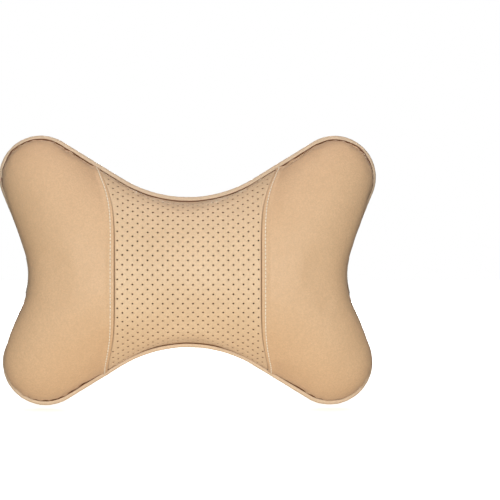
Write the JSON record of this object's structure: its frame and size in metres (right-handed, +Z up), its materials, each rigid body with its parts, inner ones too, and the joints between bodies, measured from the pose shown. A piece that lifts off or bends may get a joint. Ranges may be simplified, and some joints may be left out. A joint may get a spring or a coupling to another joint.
{
  "type": "car headrest neck pillow",
  "caption": "Bone-shaped car neck pillow in beige leather with a perforated middle panel, piped edge, zipped back and an elastic strap that holds it to a headrest.",
  "frame": {"origin": "middle of the gap between the pillow's back and the strap, where the headrest goes: on the plane of symmetry, about at mid-height of the outline and halfway between the back's middle and the strap", "axes": "+X to the right as seen from the front, +Y backwards from the pillow's front to the strap, +Z up; the front faces -Y"},
  "size_m": [0.2802, 0.0984, 0.2001],
  "materials": {
    "leather": "fine-grained beige artificial leather, satin",
    "thread": "cream sewing thread",
    "foam": "dark brown lining cloth on thin foam, seen through the holes",
    "piping": "beige artificial leather, satin",
    "cord": "white filler cord",
    "casing": "white non-woven cloth",
    "fill": "white polyester fibre",
    "tape": "beige woven tape",
    "teeth": "beige nylon coil",
    "stops": "pressed metal",
    "slider": "plated metal",
    "elastic": "beige woven elastic"
  },
  "bodies": {
    "cushion": {"front_center_panel": "leather", "front_left_panel": "leather", "front_right_panel": "leather", "front_left_topstitch": "thread", "front_right_topstitch": "thread", "center_foam": "foam", "piping_cover": "piping", "piping_cord": "cord", "back_upper_panel": "leather", "back_lower_panel": "leather", "inner_casing_front": "casing", "inner_casing_back": "casing", "fiber_fill": "fill", "zipper_upper_tape": "tape", "zipper_lower_tape": "tape", "zipper_upper_teeth": "teeth", "zipper_lower_teeth": "teeth", "zipper_upper_topstitch": "thread", "zipper_lower_topstitch": "thread", "zipper_top_stops": "stops", "zipper_bottom_stop": "stops", "strap_left_leg": "elastic", "strap_right_leg": "elastic", "strap_left_bartack": "thread", "strap_right_bartack": "thread"},
    "strap": {"strap_middle": "elastic"},
    "slider": {"zipper_slider": "slider"},
    "pull": {"zipper_pull": "slider"}
  },
  "joints": [
    {"name": "strap_stretch", "type": "slide", "parent": "cushion", "child": "strap", "axis": [0, 1, 0], "range_m": [0, 0.08], "stiffness_N_per_m": 100, "deforming": ["strap_left_leg", "strap_right_leg"]},
    {"name": "zipper_slide", "type": "slide", "parent": "cushion", "child": "slider", "axis": [-1, 0, 0], "range_m": [0, 0.112]},
    {"name": "pull_flip", "type": "hinge", "parent": "slider", "child": "pull", "pos_m": [0.0595, -0.00921, 0.0282], "axis": [0, 0.454, -0.891], "range_deg": [0, 175]}
  ]
}
